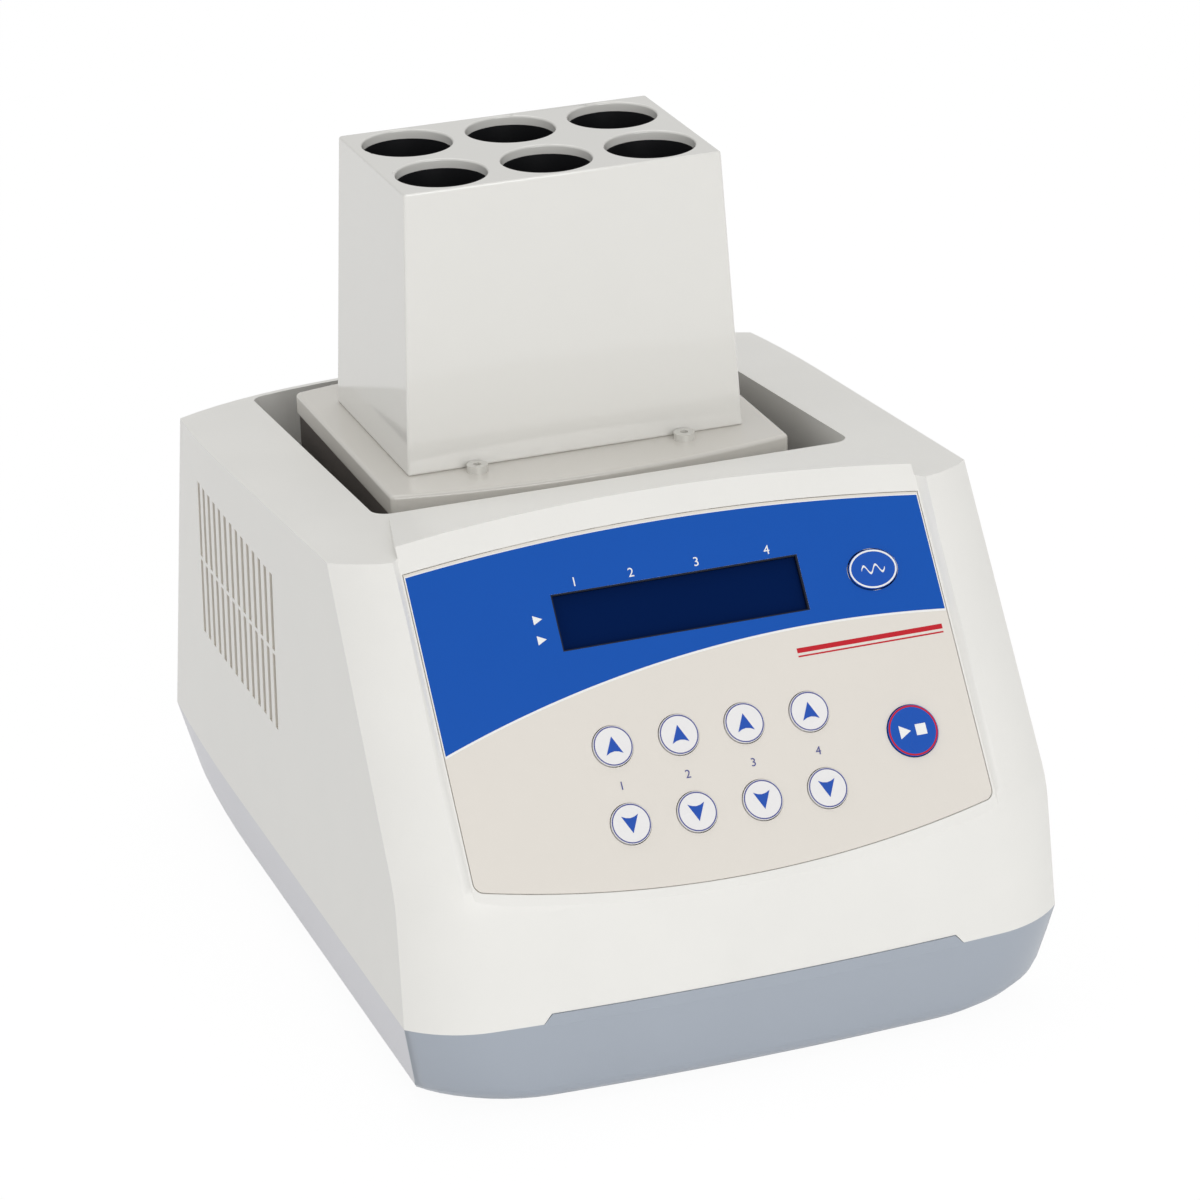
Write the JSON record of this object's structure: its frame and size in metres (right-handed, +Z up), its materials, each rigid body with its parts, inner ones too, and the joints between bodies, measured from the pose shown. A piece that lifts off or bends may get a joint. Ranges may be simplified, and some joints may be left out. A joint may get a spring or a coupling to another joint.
{
  "type": "thermal mixer",
  "caption": "Bench thermal mixer: sloped keypad and display, vented cover on a grey base, tall heated block with large tube wells that orbits in an opening in the top.",
  "frame": {"origin": "centre of the overall footprint, on the bench under the feet", "axes": "+X to the object's right seen from the front, +Y to its rear, +Z up"},
  "size_m": [0.221, 0.308, 0.254],
  "materials": {
    "cover_shell": "satin pale moulding",
    "base_shell": "satin blue-grey moulding",
    "rubber_foot": "matt",
    "steel": "satin",
    "panel_film": "satin printed film, blue field above",
    "display_glass": "gloss, dark blue",
    "key_film": "satin, printed arrows",
    "key_blue": "satin",
    "black_plastic": "matt",
    "circuit_board": "solder mask",
    "block_shell": "gloss pale",
    "black_anodised": "black anodised",
    "plate_gloss": "gloss, warm grey",
    "aluminium": "machined",
    "ceramic": "white ceramic",
    "foam": "closed-cell foam",
    "brass": "turned",
    "copper_winding": "wound copper",
    "ribbon": "flat cable",
    "painted_steel": "black painted steel"
  },
  "bodies": {
    "housing": {"top_cover": "cover_shell", "base_tray": "base_shell", "feet": "rubber_foot", "cover_screws": "steel", "panel_overlay": "panel_film", "display_window": "display_glass", "display_module": "black_plastic", "key_board": "circuit_board", "key_switches": "black_plastic", "board_screws": "steel", "motor_can": "painted_steel", "motor_stator": "copper_winding", "bearing_housing": "aluminium", "spindle_bearings": "steel", "idler_posts": "aluminium", "idler_bearings": "steel", "chassis_deck": "aluminium", "deck_pillars": "aluminium", "chassis_screws": "steel", "fan_frame": "black_plastic", "fan_bracket": "aluminium", "power_supply": "aluminium", "control_board": "circuit_board", "panel_ribbon": "ribbon", "rear_plate": "aluminium", "mains_inlet": "black_plastic", "inlet_pins": "brass", "power_switch_frame": "black_plastic"},
    "crank": {"drive_shaft": "steel", "counterweight": "brass", "motor_rotor": "steel"},
    "platform": {"block_cover": "block_shell", "block_core": "black_anodised", "carrier_plate": "plate_gloss", "plate_screws": "steel", "heat_spreader": "aluminium", "peltier_modules": "ceramic", "insulation_jacket": "foam", "heat_sink": "aluminium", "sink_screws": "steel", "temp_sensor": "steel", "platform_columns": "aluminium", "drive_platform": "aluminium", "platform_bearings": "steel"},
    "rocker": {"power_rocker": "black_plastic"},
    "fan": {"fan_rotor": "black_plastic"},
    "idler_1": {"idler_crank_1": "steel"},
    "up_1": {"key_up_1": "key_film"},
    "down_1": {"key_down_1": "key_film"},
    "idler_2": {"idler_crank_2": "steel"},
    "up_2": {"key_up_2": "key_film"},
    "down_2": {"key_down_2": "key_film"},
    "idler_3": {"idler_crank_3": "steel"},
    "up_3": {"key_up_3": "key_film"},
    "down_3": {"key_down_3": "key_film"},
    "idler_4": {"idler_crank_4": "steel"},
    "up_4": {"key_up_4": "key_film"},
    "down_4": {"key_down_4": "key_film"},
    "start": {"key_start": "key_blue"},
    "pulse": {"key_pulse": "key_blue"}
  },
  "joints": [
    {"name": "crank_spin", "type": "hinge", "parent": "housing", "child": "crank", "pos_m": [0, 0.0375, 0.06], "axis": [0, 0, 1], "continuous": true},
    {"name": "platform_orbit", "type": "hinge", "parent": "crank", "child": "platform", "pos_m": [0, 0.039, 0.1], "axis": [0, 0, 1], "continuous": true},
    {"name": "idler_1_spin", "type": "hinge", "parent": "housing", "child": "idler_1", "pos_m": [-0.05, -0.0065, 0.07], "axis": [0, 0, 1], "continuous": true},
    {"name": "idler_2_spin", "type": "hinge", "parent": "housing", "child": "idler_2", "pos_m": [0.05, -0.0065, 0.07], "axis": [0, 0, 1], "continuous": true},
    {"name": "idler_3_spin", "type": "hinge", "parent": "housing", "child": "idler_3", "pos_m": [-0.05, 0.0815, 0.07], "axis": [0, 0, 1], "continuous": true},
    {"name": "idler_4_spin", "type": "hinge", "parent": "housing", "child": "idler_4", "pos_m": [0.05, 0.0815, 0.07], "axis": [0, 0, 1], "continuous": true},
    {"name": "up_1_press", "type": "slide", "parent": "housing", "child": "up_1", "axis": [0, 0.809, -0.5878], "range_m": [0, 0.0005], "stiffness_N_per_m": 1500, "springref_m": -0.0005},
    {"name": "up_2_press", "type": "slide", "parent": "housing", "child": "up_2", "axis": [0, 0.809, -0.5878], "range_m": [0, 0.0005], "stiffness_N_per_m": 1500, "springref_m": -0.0005},
    {"name": "up_3_press", "type": "slide", "parent": "housing", "child": "up_3", "axis": [0, 0.809, -0.5878], "range_m": [0, 0.0005], "stiffness_N_per_m": 1500, "springref_m": -0.0005},
    {"name": "up_4_press", "type": "slide", "parent": "housing", "child": "up_4", "axis": [0, 0.809, -0.5878], "range_m": [0, 0.0005], "stiffness_N_per_m": 1500, "springref_m": -0.0005},
    {"name": "down_1_press", "type": "slide", "parent": "housing", "child": "down_1", "axis": [0, 0.809, -0.5878], "range_m": [0, 0.0005], "stiffness_N_per_m": 1500, "springref_m": -0.0005},
    {"name": "down_2_press", "type": "slide", "parent": "housing", "child": "down_2", "axis": [0, 0.809, -0.5878], "range_m": [0, 0.0005], "stiffness_N_per_m": 1500, "springref_m": -0.0005},
    {"name": "down_3_press", "type": "slide", "parent": "housing", "child": "down_3", "axis": [0, 0.809, -0.5878], "range_m": [0, 0.0005], "stiffness_N_per_m": 1500, "springref_m": -0.0005},
    {"name": "down_4_press", "type": "slide", "parent": "housing", "child": "down_4", "axis": [0, 0.809, -0.5878], "range_m": [0, 0.0005], "stiffness_N_per_m": 1500, "springref_m": -0.0005},
    {"name": "start_press", "type": "slide", "parent": "housing", "child": "start", "axis": [0, 0.809, -0.5878], "range_m": [0, 0.0005], "stiffness_N_per_m": 1500, "springref_m": -0.0005},
    {"name": "pulse_press", "type": "slide", "parent": "housing", "child": "pulse", "axis": [0, 0.809, -0.5878], "range_m": [0, 0.0005], "stiffness_N_per_m": 1500, "springref_m": -0.0005},
    {"name": "power_tilt", "type": "hinge", "parent": "housing", "child": "rocker", "pos_m": [0.018, 0.136, 0.059], "axis": [1, 0, 0], "range_deg": [0, 18]},
    {"name": "fan_spin", "type": "hinge", "parent": "housing", "child": "fan", "pos_m": [-0.095, 0.037, 0.105], "axis": [1, 0, 0], "continuous": true}
  ],
  "couplings": [
    {"joint": "platform_orbit", "follows": "crank_spin", "ratio": -1},
    {"joint": "idler_1_spin", "follows": "crank_spin", "ratio": 1},
    {"joint": "idler_2_spin", "follows": "crank_spin", "ratio": 1},
    {"joint": "idler_3_spin", "follows": "crank_spin", "ratio": 1},
    {"joint": "idler_4_spin", "follows": "crank_spin", "ratio": 1}
  ]
}
